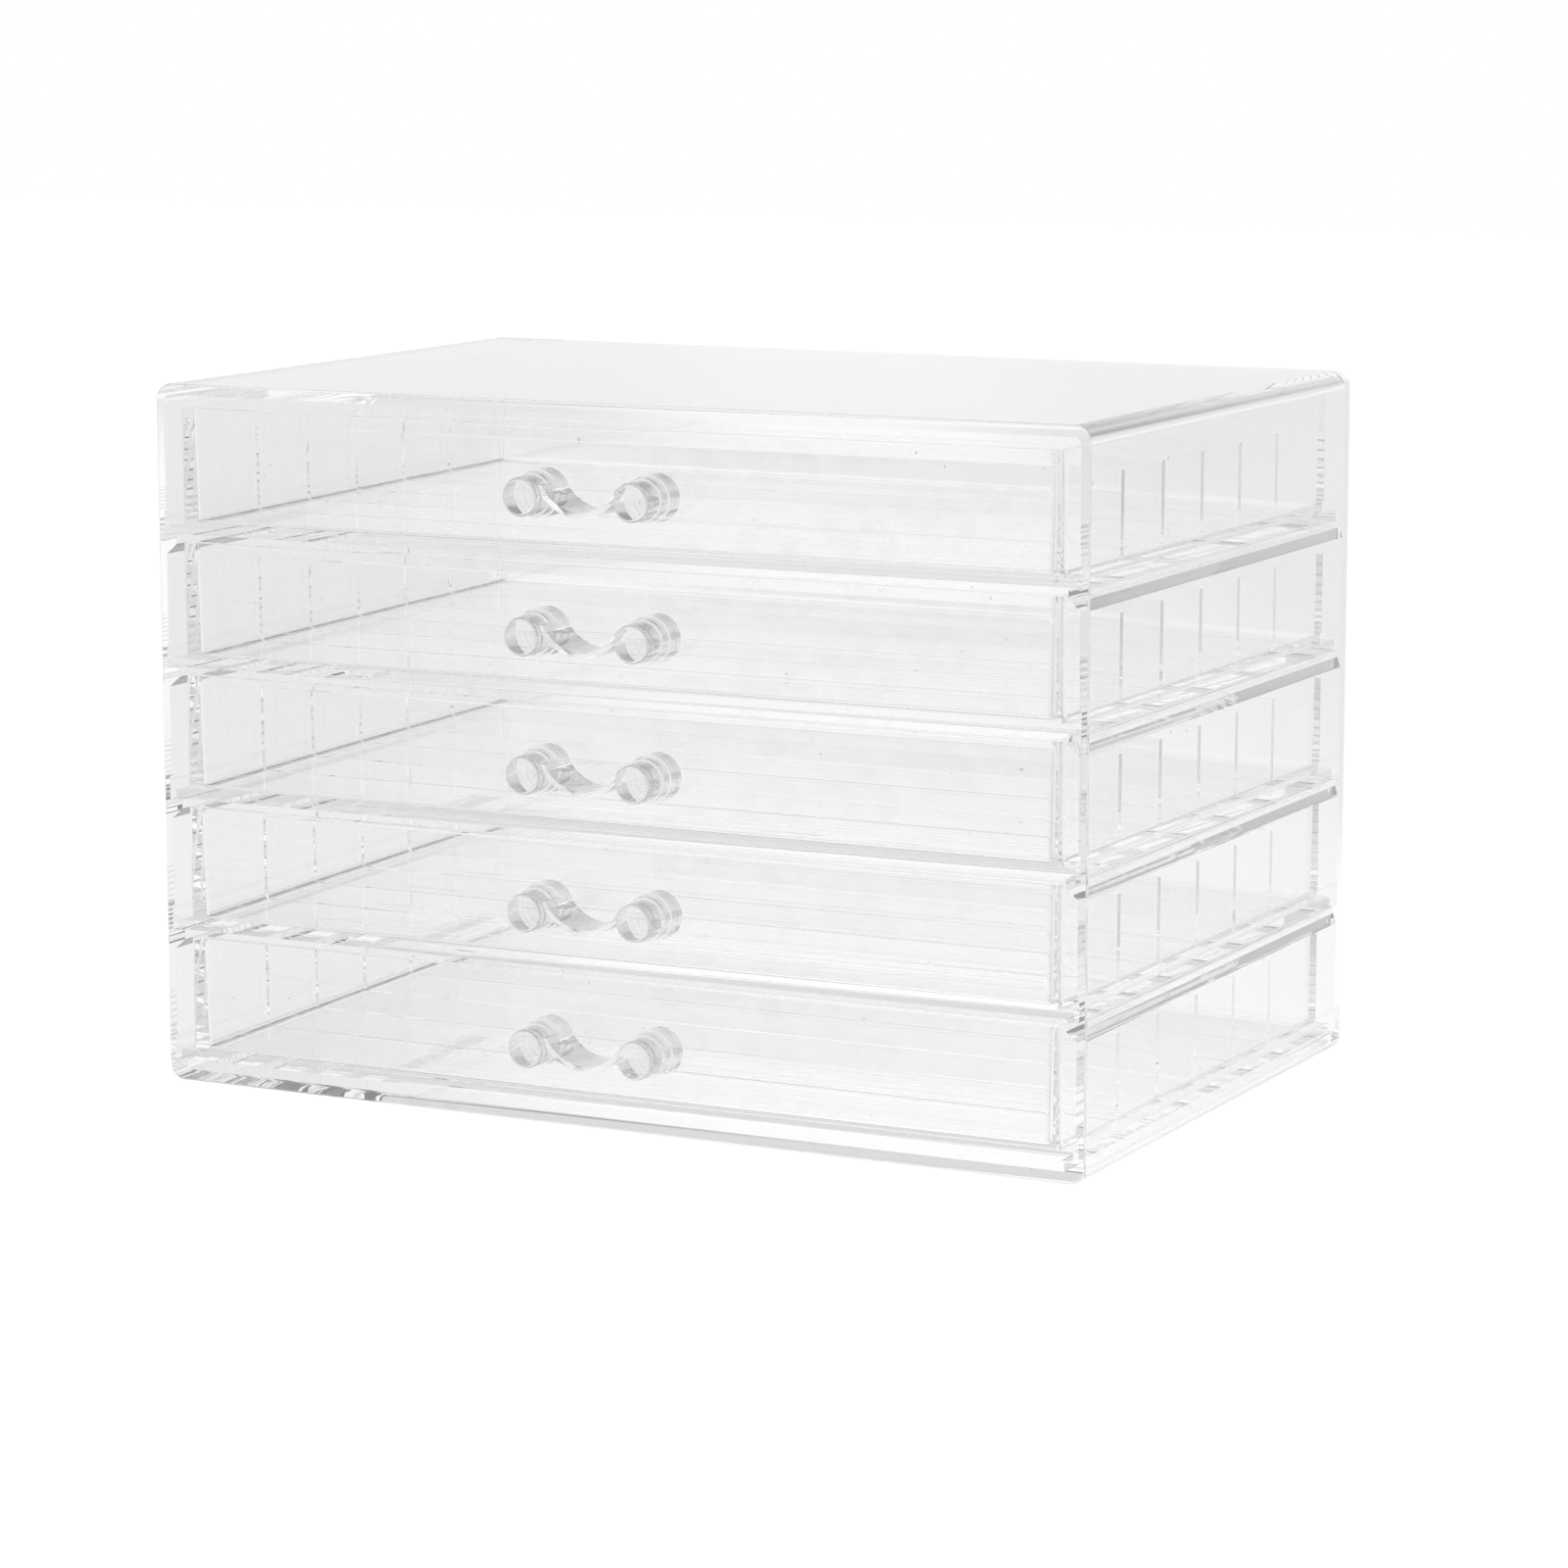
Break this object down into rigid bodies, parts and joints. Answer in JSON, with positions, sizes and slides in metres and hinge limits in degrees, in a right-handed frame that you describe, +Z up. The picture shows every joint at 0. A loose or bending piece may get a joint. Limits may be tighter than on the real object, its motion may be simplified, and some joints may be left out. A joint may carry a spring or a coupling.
{
  "type": "necklace storage drawer box",
  "caption": "Clear open-fronted case with a stack of sliding drawers, each divided by cross fins for necklaces and pulled by a small bridged handle.",
  "frame": {"origin": "centre of the case's flat underside, on the surface that it stands on", "axes": "+Z up; the drawers open towards -Y; +X is to the right of a person facing the drawers"},
  "size_m": [0.215, 0.1516, 0.15],
  "materials": {
    "clear_case": "clear, polished",
    "clear_tray": "clear, polished",
    "clear_handle": "clear, polished"
  },
  "bodies": {
    "case": {"case": "clear_case"},
    "drawer_1": {"drawer_tray_1": "clear_tray", "drawer_handle_1": "clear_handle"},
    "drawer_2": {"drawer_tray_2": "clear_tray", "drawer_handle_2": "clear_handle"},
    "drawer_3": {"drawer_tray_3": "clear_tray", "drawer_handle_3": "clear_handle"},
    "drawer_4": {"drawer_tray_4": "clear_tray", "drawer_handle_4": "clear_handle"},
    "drawer_5": {"drawer_tray_5": "clear_tray", "drawer_handle_5": "clear_handle"}
  },
  "joints": [
    {"name": "drawer_1_slide", "type": "slide", "parent": "case", "child": "drawer_1", "axis": [0, -1, 0], "range_m": [0, 0.12]},
    {"name": "drawer_2_slide", "type": "slide", "parent": "case", "child": "drawer_2", "axis": [0, -1, 0], "range_m": [0, 0.12]},
    {"name": "drawer_3_slide", "type": "slide", "parent": "case", "child": "drawer_3", "axis": [0, -1, 0], "range_m": [0, 0.12]},
    {"name": "drawer_4_slide", "type": "slide", "parent": "case", "child": "drawer_4", "axis": [0, -1, 0], "range_m": [0, 0.12]},
    {"name": "drawer_5_slide", "type": "slide", "parent": "case", "child": "drawer_5", "axis": [0, -1, 0], "range_m": [0, 0.12]}
  ]
}
